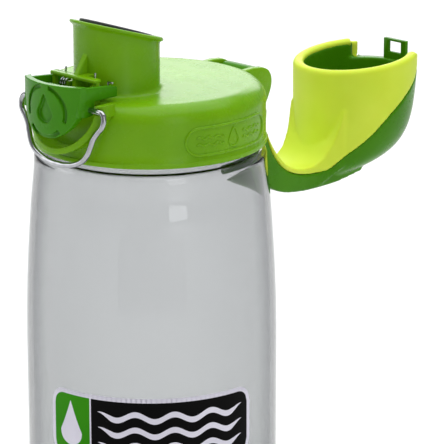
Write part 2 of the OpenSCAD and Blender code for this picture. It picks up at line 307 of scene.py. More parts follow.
# %% The finishes
skirt_green = plastic("moulded_green", (0.150, 0.372, 0.002), (0.180, 0.420, 0.003), 0.26, 4e-6,
                      IOR=1.49, Specular_IOR_Level=0.2, Subsurface_Weight=0.06, Subsurface_Scale=0.002)
button_green = plastic("button_green", (0.045, 0.230, 0.001), (0.056, 0.262, 0.002), 0.25, 4e-6,
                       IOR=1.49, Specular_IOR_Level=0.2, Subsurface_Weight=0.05, Subsurface_Scale=0.002)
core_green = plastic("core_green", (0.052, 0.215, 0.001), (0.064, 0.248, 0.002), 0.27, 4e-6,
                     IOR=1.49, Specular_IOR_Level=0.12, Subsurface_Weight=0.05, Subsurface_Scale=0.002)
lime_grip = plastic("lime_soft_touch", (0.640, 0.800, 0.040), (0.690, 0.840, 0.060), 0.48, 9e-6,
                    IOR=1.45, Specular_IOR_Level=0.3, Subsurface_Weight=0.12, Subsurface_Scale=0.003)
dark_rubber = plastic("dark_silicone", (0.030, 0.032, 0.038), (0.046, 0.048, 0.055), 0.42, 6e-6, IOR=1.41)
pale_rubber = plastic("pale_silicone", (0.50, 0.51, 0.52), (0.58, 0.59, 0.60), 0.45, 6e-6, IOR=1.41)
print("plastics:", [m.name for m in (skirt_green, button_green, core_green, lime_grip, dark_rubber, pale_rubber)])

# %% [markdown]
# Drawn steel wire keeps faint lengthwise streaks from the die. A clear
# copolyester bottle has an even tint and a barely wavy blown wall. The tint
# could be one flat colour, and the absorbing volume darkens the wall where it
# is looked through for longer. On top of that, Layer Weight paints the wall
# dark grey where it is seen at a slant, the same way from every side: painted
# shade at the edges, standing in for dark surroundings seen refracted there.

# %% Steel and clear wall
def make_steel():
    mat, tree, shader = new_material("drawn_steel", Metallic=1.0)
    tone = noise(tree, 400, 4)
    tree.links.new(ramp(tree, tone, (0.36, 0.37, 0.39), (0.50, 0.51, 0.53)), shader.inputs["Base Color"])
    tree.links.new(spread(tree, noise(tree, 1800, 3), 0.10, 0.24), shader.inputs["Roughness"])
    bump(tree, shader, noise(tree, 2600, 2), 3e-6)
    return mat


def make_clear():
    mat, tree, shader = new_material("clear_wall", IOR=1.5, Transmission_Weight=1.0)
    tint = ramp(tree, noise(tree, 18, 2), (0.955, 0.965, 0.97), (0.965, 0.975, 0.98))
    # Painted shade: Layer Weight mixes the tint towards dark grey where the wall is seen at a slant, standing in for
    # dark surroundings refracted at the edges.
    slant = tree.nodes.new("ShaderNodeLayerWeight")
    slant.inputs["Blend"].default_value = 0.5
    rim = tree.nodes.new("ShaderNodeMapRange")
    for socket, value in (("From Min", 0.55), ("From Max", 0.85), ("To Min", 0.0), ("To Max", 1.0)):
        rim.inputs[socket].default_value = value
    tree.links.new(slant.outputs["Facing"], rim.inputs["Value"])
    edge = tree.nodes.new("ShaderNodeMixRGB")
    # The dark grey of the painted edge shade.
    edge.inputs["Color2"].default_value = (0.22, 0.24, 0.27, 1)
    tree.links.new(rim.outputs["Result"], edge.inputs["Fac"])
    tree.links.new(tint, edge.inputs["Color1"])
    tree.links.new(edge.outputs["Color"], shader.inputs["Base Color"])
    depth = tree.nodes.new("ShaderNodeVolumeAbsorption")
    depth.inputs["Color"].default_value = (0.17, 0.185, 0.195, 1)
    depth.inputs["Density"].default_value = 235.0
    tree.links.new(depth.outputs["Volume"], tree.nodes["Material Output"].inputs["Volume"])
    tree.links.new(spread(tree, noise(tree, 90, 3), 0.01, 0.035), shader.inputs["Roughness"])
    bump(tree, shader, noise(tree, 45, 1), 3e-5, 0.4)
    return mat


steel = make_steel()
clear_wall = make_clear()
print("wire and wall:", steel.name, clear_wall.name)

# %% [markdown]
# ## The bottle
# The real bottle is blown: a tube of hot plastic is inflated in a mould, so
# the wall is one even skin. It could be a solid with glass inside, but then
# light would bend as in a paperweight. A turned shell with a true wall bends
# it only at the sides, as the real bottle does.

# %% Outline of the bottle and its wall
def bottle_outside():
    """Outline of the outside, from the centre of the base up to the mouth."""
    r = BODY_R
    base = [(0.0, 0.35), (9.0, 0.2), (12.0, 0.9), (14.0, 2.2), (23.0, 2.2), (24.6, 0.7)]
    foot = arc(r - 5, 5, 5, -96, 0, 12)
    body = spline([(r, 30), (r, 60), (r, CAP_Z - 56), (r - 0.3, CAP_Z - 43), (r - 0.9, CAP_Z - 31),
                   (r - 1.8, CAP_Z - 18), (r - 2.6, CAP_Z - 10), (r - 3.0, CAP_Z - 5)], 6)
    shoulder = arc(r - 6.35, CAP_Z - 4.4, 3.4, 12, 84, 10)
    neck = [(NECK_R + 0.15, CAP_Z - 0.5), (NECK_R, CAP_Z + 0.4), (NECK_R, CAP_Z + MOUTH_TOP - 0.5),
            (NECK_R - 0.5, CAP_Z + MOUTH_TOP)]
    return base + foot + body + shoulder + neck


def offset_inwards(points, distance):
    """The same outline, moved inwards by the wall's thickness."""
    out = []
    for i, (r, z) in enumerate(points):
        a, b = points[max(i - 1, 0)], points[min(i + 1, len(points) - 1)]
        dr, dz = b[0] - a[0], b[1] - a[1]
        size = math.hypot(dr, dz) or 1.0
        out.append((max(r - dz / size * distance, 0.0), z + dr / size * distance))
    return out


def revolve_shell(name, outside, inside, steps):
    """One closed skin from the base's centre out, over the mouth and back in."""
    outline = outside + inside[::-1]
    verts, faces, n = [], [], len(outline)
    for s in range(steps):
        a = 2 * math.pi * s / steps
        verts += [(r * math.cos(a), r * math.sin(a), z) for r, z in outline]
    for s in range(steps):
        t = (s + 1) % steps
        faces += [(s * n + i, t * n + i, t * n + i + 1, s * n + i + 1) for i in range(n - 1)]
    return to_object(name, verts, faces)


outside = bottle_outside()
inside = offset_inwards(outside[:-3], WALL)
inside[0] = (0.0, inside[0][1])
inside += [(NECK_R - WALL, CAP_Z + 0.6), (NECK_R - WALL, CAP_Z + MOUTH_TOP - 0.4),
           (NECK_R - WALL + 0.4, CAP_Z + MOUTH_TOP)]
bottle_shell = smooth_shade(revolve_shell("bottle_shell", outside, inside, 160), 40)
print("bottle wall", WALL, "mm,", len(bottle_shell.data.polygons), "faces")

# %% [markdown]
# ## Sweeps with Geometry Nodes
# A screw thread, a bent wire and a spring are all one profile carried along a
# path. They could be modelled ring by ring, but a sweep tree keeps the path
# and the profile apart, so one tree serves all of them.

# %% The sweep tree
def sweep_tree():
    """Path curve in, swept skin out, with named inputs for the profile."""
    tree = bpy.data.node_groups.new("sweep_along_path", "GeometryNodeTree")
    tree.interface.new_socket("Geometry", in_out="INPUT", socket_type="NodeSocketGeometry")
    sizes = {}
    for label, value in (("Radius", 0.001), ("Flatten", 1.0)):
        sizes[label] = tree.interface.new_socket(label, in_out="INPUT", socket_type="NodeSocketFloat")
        sizes[label].default_value = value
    sides = tree.interface.new_socket("Sides", in_out="INPUT", socket_type="NodeSocketInt")
    sides.default_value = 16
    finish_in = tree.interface.new_socket("Material", in_out="INPUT", socket_type="NodeSocketMaterial")
    tree.interface.new_socket("Geometry", in_out="OUTPUT", socket_type="NodeSocketGeometry")
    nodes, links = tree.nodes, tree.links
    enter, leave = nodes.new("NodeGroupInput"), nodes.new("NodeGroupOutput")
    circle = nodes.new("GeometryNodeCurvePrimitiveCircle")
    squash = nodes.new("GeometryNodeTransform")
    scale = nodes.new("ShaderNodeCombineXYZ")
    scale.inputs["X"].default_value = 1.0
    scale.inputs["Z"].default_value = 1.0
    sweep = nodes.new("GeometryNodeCurveToMesh")
    sweep.inputs["Fill Caps"].default_value = True
    real = nodes.new("GeometryNodeRealizeInstances")
    paint = nodes.new("GeometryNodeSetMaterial")
    links.new(enter.outputs["Radius"], circle.inputs["Radius"])
    links.new(enter.outputs["Sides"], circle.inputs["Resolution"])
    links.new(enter.outputs["Flatten"], scale.inputs["Y"])
    links.new(circle.outputs["Curve"], squash.inputs["Geometry"])
    links.new(scale.outputs["Vector"], squash.inputs["Scale"])
    links.new(enter.outputs["Geometry"], sweep.inputs["Curve"])
    links.new(squash.outputs["Geometry"], sweep.inputs["Profile Curve"])
    links.new(sweep.outputs["Mesh"], real.inputs["Geometry"])
    links.new(real.outputs["Geometry"], paint.inputs["Geometry"])
    links.new(enter.outputs["Material"], paint.inputs["Material"])
    links.new(paint.outputs["Geometry"], leave.inputs["Geometry"])
    ids = {"Radius": sizes["Radius"].identifier, "Flatten": sizes["Flatten"].identifier,
           "Sides": sides.identifier, "Material": finish_in.identifier}
    return tree, ids


sweep_group, sweep_ids = sweep_tree()
print("sweep inputs:", sorted(sweep_ids))


def swept(name, paths, radius, material, sides=16, flatten=1.0):
    """Sweep a round or flattened profile along one or more paths, in millimetres."""
    curve = bpy.data.curves.new(name, "CURVE")
    curve.dimensions = "3D"
    for path in paths:
        line = curve.splines.new("POLY")
        line.points.add(len(path) - 1)
        for point, (x, y, z) in zip(line.points, path):
            point.co = (x * MM, y * MM, z * MM, 1)
    source = bpy.data.objects.new(name + "_path", curve)
    bpy.context.scene.collection.objects.link(source)
    mod = source.modifiers.new("sweep", "NODES")
    mod.node_group = sweep_group
    mod[sweep_ids["Radius"]] = radius * MM
    mod[sweep_ids["Flatten"]] = flatten
    mod[sweep_ids["Sides"]] = sides
    mod[sweep_ids["Material"]] = material
    depsgraph = bpy.context.evaluated_depsgraph_get()
    mesh = bpy.data.meshes.new_from_object(source.evaluated_get(depsgraph))
    obj = bpy.data.objects.new(name, mesh)
    bpy.context.scene.collection.objects.link(obj)
    bpy.data.objects.remove(source)
    outward(obj)
    smooth_shade(obj, 60)
    return obj

# %% [markdown]
# The thread on the neck is one ridge that climbs four millimetres a turn. Its
# ends sink into the wall, as a mould maker runs them out.

# %% The neck's thread
def thread_path(root, turns, z0):
    path, n = [], 120
    for i in range(n + 1):
        t = i / n
        r = root - 1.2 + 1.2 * min(1.0, 14 * t, 14 * (1 - t))
        a = 2 * math.pi * turns * t
        path.append((r * math.cos(a), r * math.sin(a), z0 + PITCH * turns * t))
    return path


neck_thread = swept("neck_thread", [thread_path(NECK_R + 0.25, 1.4, CAP_Z + 3.4)], 0.9, clear_wall, 14)
finish(bottle_shell, clear_wall, "vessel", "clear_plastic", "bottle")
finish(neck_thread, clear_wall, "vessel", "clear_plastic")
print("neck thread has", len(neck_thread.data.polygons), "faces")

# %% [markdown]
# ## The printed label
# A real label is screen printed: a few microns of ink that curve with the
# wall. An image would be the quick way; here each ink is a thin curved patch
# cut from columns, so its edges stay sharp at any distance. The artwork is a
# plain water drop and waves.

# %% Ink patches
LABEL_TURN = math.radians(44 - 90 + 0.6)
LABEL_TOP = CAP_Z - 65.7


def ink(name, u0, u1, spans, radius, material, columns=90):
    """A curved patch: spans(u) gives the (low, high) heights at arc length u."""
    verts, faces = [], []
    for i in range(columns + 1):
        u = u0 + (u1 - u0) * i / columns
        a = LABEL_TURN + u / BODY_R
        low, high = spans(u)
        for z in (low, high):
            verts.append((radius * math.cos(a), radius * math.sin(a), LABEL_TOP + z))
    faces = [(2 * i, 2 * i + 2, 2 * i + 3, 2 * i + 1) for i in range(columns)]
    mesh = bpy.data.meshes.new(name)
    mesh.from_pydata([(x * MM, y * MM, z * MM) for x, y, z in verts], [], faces)
    obj = bpy.data.objects.new(name, mesh)
    bpy.context.scene.collection.objects.link(obj)
    for face in mesh.polygons:
        face.use_smooth = True
    finish(obj, material, "vessel", None)
    return obj


def panel(half, height, corner, inset=0.0):
    """Rounded rectangle hanging below the label's top edge."""
    def spans(u):
        r = max(corner - inset, 0.1)
        edge = half - inset - abs(u)
        cut = r - math.sqrt(max(r * r - max(r - edge, 0) ** 2, 0))
        return (-height + inset + cut, -inset - cut)
    return spans


def ink_material(name, low, high, gloss):
    return plastic(name, low, high, gloss, 2e-6, IOR=1.45, Specular_IOR_Level=0.06)


ink_white = ink_material("ink_white", (0.72, 0.70, 0.80), (0.80, 0.78, 0.88), 0.35)
ink_black = ink_material("ink_black", (0.0012, 0.0012, 0.0012), (0.0022, 0.0022, 0.0024), 0.30)
ink_green = ink_material("ink_green", (0.030, 0.245, 0.003), (0.040, 0.275, 0.005), 0.32)
HALF, TALL, ROUND = 32.0, 21.0, 5.0
SPLIT = -18.0


def drop_spans(cx, cz, r):
    """A water drop: a round bottom under a pointed top."""
    def spans(u):
        x = min(abs(u - cx), r)
        low = cz - math.sqrt(max(r * r - x * x, 0))
        side = 1 - x / r
        high = cz + r * 2.1 * side ** 1.35 + 0.35 * math.sqrt(max(r * r - x * x, 0))
        return (low, max(high, low))
    return spans


def wave_spans(cz, thick):
    def spans(u):
        mid = cz + 1.0 * math.sin((u - SPLIT) * 2 * math.pi / 11.0)
        swell = thick * min(1.0, (u - SPLIT - 2.5) / 4, (HALF - 3.5 - u) / 4)
        return (mid - swell / 2, mid + swell / 2)
    return spans


ink("label_outline", -HALF, HALF, panel(HALF, TALL, ROUND), BODY_R + 0.015, ink_white)
ink("label_green", -HALF + 1.3, SPLIT, panel(HALF, TALL, ROUND, 1.3), BODY_R + 0.030, ink_green, 40)
ink("label_black", SPLIT + 0.5, HALF - 1.3, panel(HALF, TALL, ROUND, 1.3), BODY_R + 0.030, ink_black)
ink("label_drop", -28.4, -20.6, drop_spans(-24.5, -12.6, 3.9), BODY_R + 0.045, ink_white, 40)
for row, height in enumerate((-5.8, -10.4, -15.0)):
    ink("label_wave_%d" % (row + 1), SPLIT + 2.6, HALF - 3.6, wave_spans(height, 1.7), BODY_R + 0.045, ink_white)
print("label", 2 * HALF, "by", TALL, "mm")

# %% [markdown]
# ## The cap
# The screw cap is one injection moulding. It is built here the way its mould
# is cut: a turned skirt and deck, a slanted spout, a cradle for the button, a
# shelf that guards the spout and two hinge ears, each with its own rounded
# edges, all in one resin.

# %% Skirt and deck
LIP_R = SKIRT_R + 0.38
skirt_outline = (
    [(BORE_R, 0.25), (BORE_R + 0.3, 0.0), (LIP_R - 0.35, 0.0)]
    + arc(LIP_R - 0.35, 0.35, 0.35, -90, 0, 4) + arc(LIP_R - 0.35, 1.15, 0.35, 0, 70, 4)
    + [(SKIRT_R + 0.02, 1.75), (SKIRT_R, 4.0), (SKIRT_R - 0.02, 8.0)]
    + arc(SKIRT_R - 5.02, DECK_H - 5.0, 5.0, 0, 90, 14)
    + [(BORE_R - 0.6, DECK_H - 2.5), (BORE_R, DECK_H - 3.1)])


def make_skirt():
    """Turned skirt with a full deck, then the hole for the spout."""
    middle = [(0.0, DECK_H), (0.0, DECK_H - 2.5)]
    body = skirt_outline[:-2] + middle + skirt_outline[-2:]
    skirt = lathe("cap_skirt", body, 192, lift=CAP_Z)
    hole = lathe("hole", [(0, 10), (SPOUT_R - 1.8, 10), (SPOUT_R - 1.8, 22), (0, 22)], 96, (0, SPOUT_Y), CAP_Z)
    return smooth_shade(joined(skirt, hole, "DIFFERENCE"), 30)


cap_skirt = make_skirt()
finish(cap_skirt, skirt_green, "closure", "green_plastic", "cap")
cap_thread = swept("cap_thread", [thread_path(BORE_R + 0.35, 1.4, CAP_Z + 3.4 + PITCH / 2)], 0.9, skirt_green, 14)
finish(cap_thread, skirt_green, "closure", "green_plastic")
print("skirt", 2 * SKIRT_R, "mm across,", DECK_H, "mm high")

# %% [markdown]
# The spout is a round tube cut at a slant, with a rolled flange at the mouth
# and a small fillet where it grows out of the deck.

# %% Spout
def mouth_height(y, off=0.0):
    """Height of the slanted mouth plane above a point, lifted along its normal."""
    return MOUTH_H - math.tan(MOUTH_TILT) * (y - SPOUT_Y) + off / math.cos(MOUTH_TILT)


def slanted(name, rings, steps=128, lean=0.0):
    """Rings given as (radius, base height or None, offset from the mouth plane)."""
    verts, faces, n = [], [], len(rings)
    for s in range(steps):
        a = 2 * math.pi * s / steps
        for r, z, off in rings:
            y = SPOUT_Y + r * math.sin(a)
            height = z if z is not None else mouth_height(y, off - lean * (y - SPOUT_Y + 9.5) * (off > -1))
            verts.append((r * math.cos(a), y, height))
    for s in range(steps):
        t = (s + 1) % steps
        faces += [(s * n + i, t * n + i, t * n + (i + 1) % n, s * n + (i + 1) % n) for i in range(n)]
    return to_object(name, verts, faces, CAP_Z)


def spout_rings():
    rings = [(SPOUT_R + 2.0, DECK_H - 0.25, 0)]
    for x, z in arc(SPOUT_R + 1.6, DECK_H + 1.55, 1.6, -90, -180, 6):
        rings.append((x, z, 0))
    rings += [(SPOUT_R, None, -4.0), (SPOUT_R, None, -2.0), (SPOUT_R + 0.12, None, -1.35)]
    rings += [(x, None, z) for x, z in arc(SPOUT_R + 0.42, -0.55, 0.55, -75, 90, 8)]
    rings += [(SPOUT_R - 0.6, None, 0.0), (SPOUT_R - 1.55, None, 0.0), (SPOUT_R - 1.8, None, -0.25)]
    rings += [(SPOUT_R - 1.8, None, -6.0), (SPOUT_R - 1.8, DECK_H - 2.4, 0)]
    return rings


cap_spout = smooth_shade(slanted("cap_spout", spout_rings()), 50)
finish(cap_spout, skirt_green, "closure", "green_plastic")

seal_rings = [(SPOUT_R - 1.82, None, -5.0), (SPOUT_R - 1.82, None, 0.3)]
seal_rings += [(x, None, z) for x, z in arc(SPOUT_R - 2.32, 0.38, 0.5, 0, 180, 8)]
seal_rings += [(SPOUT_R - 3.1, None, -0.4), (SPOUT_R - 3.2, None, -4.8), (SPOUT_R - 2.8, None, -5.0)]
spout_lip = smooth_shade(slanted("spout_lip", seal_rings, lean=0.045), 50)
finish(spout_lip, dark_rubber, "closure", "dark_silicone", "spout_seal")
print("spout mouth from", round(mouth_height(SPOUT_Y + SPOUT_R), 1),
      "to", round(mouth_height(SPOUT_Y - SPOUT_R), 1))

# %% [markdown]
# The cradle is a half ring that holds the button. Its front follows a
# cylinder, so it is cut from a straight extrusion by two turned shapes, then
# melted to get the soft edges of a moulding.

# %% Cradle
def cradle_outline():
    low, high = PIVOT[1] - 1.9, PIVOT[1] + 1.6
    return (arc(0, 18, 14.9, 188, 352, 48) + [(15.0, low), (15.0, high), (13.2, high)]
            + arc(0, 18, 13.2, -3, -177, 48) + [(-13.2, high), (-15.0, high), (-15.0, low)])


def make_cradle():
    ring = prism("cap_cradle", cradle_outline(), -44, -27.5, along_y, CAP_Z)
    bulge = lathe("bulge", [(0, -2), (22.2, -2), (22.2, 28), (0, 28)], 128, (0, -16.3), CAP_Z)
    joined(ring, bulge, "INTERSECT")
    inner = lathe("inner", [(0, -2), (SKIRT_R - 1.1, -2), (SKIRT_R - 1.1, 30), (0, 30)], 128, (0, 0), CAP_Z)
    joined(ring, inner, "DIFFERENCE")
    for side in (-1, 1):
        hole = prism("hole", arc(PIVOT[0], PIVOT[1], 0.9, 0, 345, 23), side * 18, side * 12, along_x, CAP_Z)
        joined(ring, hole, "DIFFERENCE")
    return melt(ring, 0.2, 4)


cap_cradle = make_cradle()
finish(cap_cradle, skirt_green, "closure", "green_plastic")

# %% [markdown]
# The shelf, its fin, the ears and the spring posts are flat ribs. Each is an
# extruded outline whose edges take a small bevel, which catches the light as
# a mould's polished parting line does.

# %% Shelf, fin, posts and ears
def slab(name, x0, x1, outline, bevel):
    """A rib across the middle plane from x0 to x1 with bevelled edges."""
    return rounded(prism(name, outline, x0, x1, along_x, CAP_Z), bevel, 3)


def box_outline(y0, y1, z0, z1):
    return [(y0, z0), (y1, z0), (y1, z1), (y0, z1)]


ribs = [slab("cap_shelf", -9, 9, box_outline(-30.2, -27.6, 22.8, 23.9), 0.35),
        slab("cap_shelf_back", -3.2, 3.2, box_outline(-28.9, -23.2, 22.8, 23.85), 0.3),
        slab("cap_fin", -0.9, 0.9, [(-29.2, 23.4), (-24.5, 30.0), (-23.1, 17.0), (-29.2, 15.9)], 0.3)]
for i, x in enumerate((-8.95, -0.8, 7.75)):
    wide = 1.6 if i == 1 else 1.2
    ribs.append(slab("cap_post_%d" % (i + 1), x, x + wide, box_outline(-29.5, -28.05, 15.6, 23.4), 0.25))
ear = ([(28.5, 16.4), (33.4, 16.6)] + spline([(37.2, 16.2), (39.6, 15), (40.9, 12.6), (40.6, 9.4), (38.6, 5.2)], 6)
       + [(32.6, 1.8), (31.0, 1.2), (31.0, 14.0)])
for side in (-1, 1):
    tag = "left" if side < 0 else "right"
    ribs.append(slab("cap_ear_" + tag, min(side * 6.9, side * 9.3), max(side * 6.9, side * 9.3), ear, 0.5))
    foot = side * 4.5
    ribs.append(slab("cap_spring_post_" + tag, foot - 0.6, foot + 0.6, box_outline(-27.3, -24.7, 16.5, 21.0), 0.3))
    rod = arc(-26, 19.6, 1.08, 0, 345, 23)
    ribs.append(slab("cap_spring_rod_" + tag, min(side * 4.6, side * 8.9), max(side * 4.6, side * 8.9), rod, 0.2))
for rib in ribs:
    finish(rib, skirt_green, "closure", "green_plastic")
print("ribs on the cap:", len(ribs))

# %% [markdown]
# A raised oval frame sits on the side of the skirt, with a drop over two
# waves inside it. Reliefs like this are milled into the mould, so they get
# round edges and no undercut.

# %% Oval frame on the skirt
def on_skirt(u, v, r):
    """A point of the frame's drawing, placed on the skirt's +X side."""
    return (math.sqrt(r * r - u * u), u, 7.0 + v + CAP_Z)


def stadium(a, b, n=20):
    right = [(a - b + b * math.cos(t), b * math.sin(t)) for t in [math.pi * (i / n - 0.5) for i in range(n + 1)]]
    left = [(b - a - b * math.cos(t), -b * math.sin(t)) for t in [math.pi * (i / n - 0.5) for i in range(n + 1)]]
    top = [(a - b - 2 * (a - b) * i / n, b) for i in range(1, n)]
    low = [(b - a + 2 * (a - b) * i / n, -b) for i in range(1, n)]
    return right + top + left + low


def wavy(z, half, n=40):
    return [(-half + 2 * half * i / n, z + 0.35 * math.sin(i / n * 6 * math.pi)) for i in range(n + 1)]


frame_line = stadium(15.2, 3.9)
emblem = swept("cap_frame", [[on_skirt(u, v, SKIRT_R) for u, v in frame_line + frame_line[:2]]], 0.42,
               skirt_green, 14)
waves = swept("cap_waves", [[on_skirt(u + c, v, SKIRT_R) for u, v in wavy(z, 4.2)]
                            for c in (-8.0, 8.0) for z in (-1.0, 0.9)], 0.3, skirt_green, 12)
drop_line = [(1.9 * math.cos(t) * (1 - 0.25 * max(math.sin(t), 0)),
              -0.9 + 1.9 * math.sin(t) + 1.5 * max(math.sin(t), 0) ** 3)
             for t in [2 * math.pi * i / 48 for i in range(49)]]
drop_ring = swept("cap_drop", [[on_skirt(u, v, SKIRT_R) for u, v in drop_line + drop_line[1:2]]], 0.32,
                  skirt_green, 12)
for relief in (emblem, waves, drop_ring):
    finish(relief, skirt_green, "closure", "green_plastic")

# %% [markdown]
# ## Gasket and hinge pin
# Both hide inside, but a shared library part should open up honestly.

# %% Gasket and pin
gasket_z = MOUTH_TOP
gasket_line = (arc(30.95, gasket_z + 0.25, 0.24, -90, 0, 4) + arc(30.95, gasket_z + 0.95, 0.24, 0, 90, 4)
               + [(29.9, gasket_z + 1.15), (29.2, gasket_z + 1.15)]
               + arc(28.15, gasket_z + 0.95, 0.24, 90, 180, 4) + arc(28.15, gasket_z + 0.25, 0.24, 180, 270, 4))
gasket_ring = smooth_shade(lathe("gasket_ring", gasket_line, 128, lift=CAP_Z), 40)
finish(gasket_ring, pale_rubber, "gasket", "grey_silicone", "neck_gasket")


def turned_x(name, outline, y, z, steps=32):
    """Turn an (x, r) outline about an axis along X."""
    verts, faces, n = [], [], len(outline)
    for s in range(steps):
        a = 2 * math.pi * s / steps
        verts += [(x, y + r * math.cos(a), z + r * math.sin(a)) for x, r in outline]
    for s in range(steps):
        t = (s + 1) % steps
        faces += [(s * n + i, s * n + i + 1, t * n + i + 1, t * n + i) for i in range(n - 1)]
    return smooth_shade(to_object(name, verts, faces, CAP_Z), 35)


pin_line = [(-9.12, 0.0), (-9.12, 0.6), (-8.9, 0.84), (0.0, 0.85), (8.9, 0.84), (9.12, 0.6), (9.12, 0.0)]
finish(turned_x("pin", pin_line, PIN_Y, PIN_Z), steel, "closure", "steel_wire", "hinge_pin")

# %% [markdown]
# ## The hood
# The hood is drawn open, as it hangs. Its cup is a stack of ovals that shrink
# and lean towards the arm. It could be sculpted, but a loft keeps the rim a
# true oval, so it still closes on the cap. Booleans cut the hollow, and a
# fine voxel skin then rounds every edge.

# %% Cup loft
RIM_A = 17.7
GRIP = 1.6
LEVELS = [((67.5, 9.0), (109.0, 11.86), 0.0), ((67.5, 3.0), (108.9, 5.5), 0.1), ((67.4, -4.0), (108.4, -1.0), 0.4),
          ((67.0, -10.0), (107.5, -7.0), 0.9), ((66.2, -14.5), (106.0, -12.0), 1.8),
          ((65.0, -18.0), (103.6, -15.8), 3.1), ((63.5, -20.8), (100.4, -18.6), 4.9),
          ((62.0, -23.0), (96.0, -21.0), 7.4), ((61.0, -24.6), (88.0, -23.4), 10.7),
          ((63.0, -25.5), (80.0, -25.0), 14.4)]


def cup(name, inset, sides=96):
    """The cup's outer shape, drawn in by inset, as one closed loft."""
    flat = [(r[0], r[1], f[0], f[1], s) for r, f, s in LEVELS]
    rings = []
    for ry, rz, fy, fz, s in spline(flat, 4):
        lift = inset * min(1.0, max(0.0, (-rz - 9.0) / 12.0))
        a = max(RIM_A - s - inset, 0.8)
        hy, hz = (fy - ry) / 2, (fz - rz) / 2
        b = max(math.hypot(hy, hz) - inset, 0.8) / math.hypot(hy, hz)
        ring = []
        for j in range(sides):
            t = 2 * math.pi * j / sides
            ring.append((a * math.sin(t), (ry + fy) / 2 + b * hy * math.cos(t),
                         (rz + fz) / 2 + b * hz * math.cos(t) + lift))
        rings.append(ring)
    verts = [v for ring in rings for v in ring]
    faces = [tuple(range(sides)), tuple(range(len(verts) - 1, len(verts) - 1 - sides, -1))]
    for i in range(len(rings) - 1):
        for j in range(sides):
            k = (j + 1) % sides
            faces.append((i * sides + j, (i + 1) * sides + j, (i + 1) * sides + k, i * sides + k))
    return to_object(name, verts, faces, CAP_Z)


def wedge(name, outline, half=40.0):
    return prism(name, outline, -half, half, along_x, CAP_Z)


SEAM = [(58, -20.9)] + spline([(65.5, -20.9), (67.6, -19.9), (70.2, -18.2), (74.1, -15.4), (79, -11.4), (85.5, -5.6),
                               (92.2, -1.1), (98.0, 2.3), (104, 6.2), (113, 9.0)], 5)
HOLLOW_LINE = [(60, -12), (67, -14.5), (72, -16.5), (98, -16), (102.2, -12.5), (104, -7), (106, 0), (108, 20), (60, 20)]
ARM_OUTER = [(35.6, 9.5), (36.1, 3), (36.3, -6), (37, -12), (38.4, -17), (41.5, -21.2), (47, -23.9), (54, -25.2),
             (62.6, -25.7), (72, -25.5), (82.5, -24.1)]
ARM_INNER = [(40.9, 11.5), (40.4, 6), (39.9, 0), (40.3, -5.8), (43.4, -12.1), (48.1, -17), (53.9, -19.6),
             (60.2, -20.7), (66, -20.9)]


def above_seam():
    return wedge("above", SEAM + [(112, 40), (58, 40)])


def hollow():
    """The inside of the cup: the oval drawn in by both walls, flat at the bottom."""
    w = GRIP + 1.7
    well = cup("well", w)
    top = cup("top_well", w)
    for v in top.data.vertices:
        v.co.z += 4 * MM
    joined(well, top, "UNION")
    joined(well, wedge("trim", HOLLOW_LINE), "INTERSECT")
    return well


def notch():
    return prism("notch", [(97, 5.4), (117, 5.4), (117, 25), (97, 25)], -11.8, 11.8, along_x, CAP_Z)


def under_rim(name, depth, high=10.0):
    """Everything above a plane parallel to the rim, depth below it."""
    (ry, rz), (fy, fz) = LEVELS[0][0], LEVELS[0][1]
    slope = (fz - rz) / (fy - ry)
    a, b = rz - depth - 10 * slope, rz - depth + 60 * slope
    return wedge(name, [(ry - 10, a), (ry + 60, b), (ry + 60, b + high), (ry - 10, a + high)])

# %% [markdown]
# The hard core carries the load: arm, knuckle and the cup's inner wall. The
# soft grip is moulded over it in a second shot, so both share the seam.

# %% Hard core of the hood
WEB_PLAN = [(7.0, 58.0), (8.4, 58.0), (8.6, 62.0), (9.1, 65.6), (9.9, 68.4), (11.0, 71.0), (11.6, 75.0), (7.0, 76.0)]


def arm(width, outline):
    return prism("arm", outline, -width / 2, width / 2, along_x, CAP_Z)


def arm_side():
    """The arm and loop, drawn from the side."""
    return spline(ARM_OUTER, 4) + [(86, -19), (66, -16.5)] + spline(ARM_INNER, 4)[::-1]


def hood_core_mesh():
    low = cup("hood_core_body", 0.0)
    joined(low, above_seam(), "DIFFERENCE")
    joined(low, cup("inner_cup", GRIP), "UNION")
    wide = arm(16.6, arm_side())
    joined(wide, wedge("gap", [(30, 3), (50, 3), (50, 30), (30, 30)]), "DIFFERENCE")
    joined(low, wide, "UNION")
    joined(low, arm(13.2, arm_side()), "UNION")
    for side_x in (-1, 1):
        plan = [(side_x * x * 0.99, y) for x, y in WEB_PLAN]
        block = prism("web", plan, -25.0, -15.0, along_z, CAP_Z)
        limit = wedge("limit", [(54, -25.0), (62.0, -25.0), (67, -23.2), (71, -20.6), (76, -16.0), (74.1, -15.6),
                                (67.6, -20.1), (62, -21.0), (54, -19.8)])
        joined(low, joined(block, limit, "INTERSECT"), "UNION")
    knuckle = prism("knuckle", arc(PIN_Y, PIN_Z, 3.4, 0, 352.5, 47), -6.6, 6.6, along_x, CAP_Z)
    joined(low, knuckle, "UNION")
    joined(low, hollow(), "DIFFERENCE")
    joined(low, notch(), "DIFFERENCE")
    joined(low, under_rim("rim_cut", 1.3), "DIFFERENCE")
    bore = prism("bore", arc(PIN_Y, PIN_Z, 1.1, 0, 345, 23), -20, 20, along_x, CAP_Z)
    joined(low, bore, "DIFFERENCE")
    return melt(low, 0.42, 5)


finish(hood_core_mesh(), core_green, "hood", "deep_green_plastic", "hood_core")

# %% [markdown]
# A hook tab at the cup's far end snaps under the button, and a round pad
# inside presses on the spout's lip when the hood is shut.

# %% Tab and pad
tab_side = [(106.6, 0.2), (107.8, 0.2), (107.8, 11.75), (106.6, 11.75)]
hook = prism("hood_tab", tab_side, -4.5, 4.5, along_x, CAP_Z)
joined(hook, prism("slot", [(100, 7.6), (112, 7.6), (112, 11), (100, 11)], -2.5, 2.5, along_x, CAP_Z), "DIFFERENCE")
finish(rounded(hook, 0.22, 3), core_green, "hood", "deep_green_plastic")


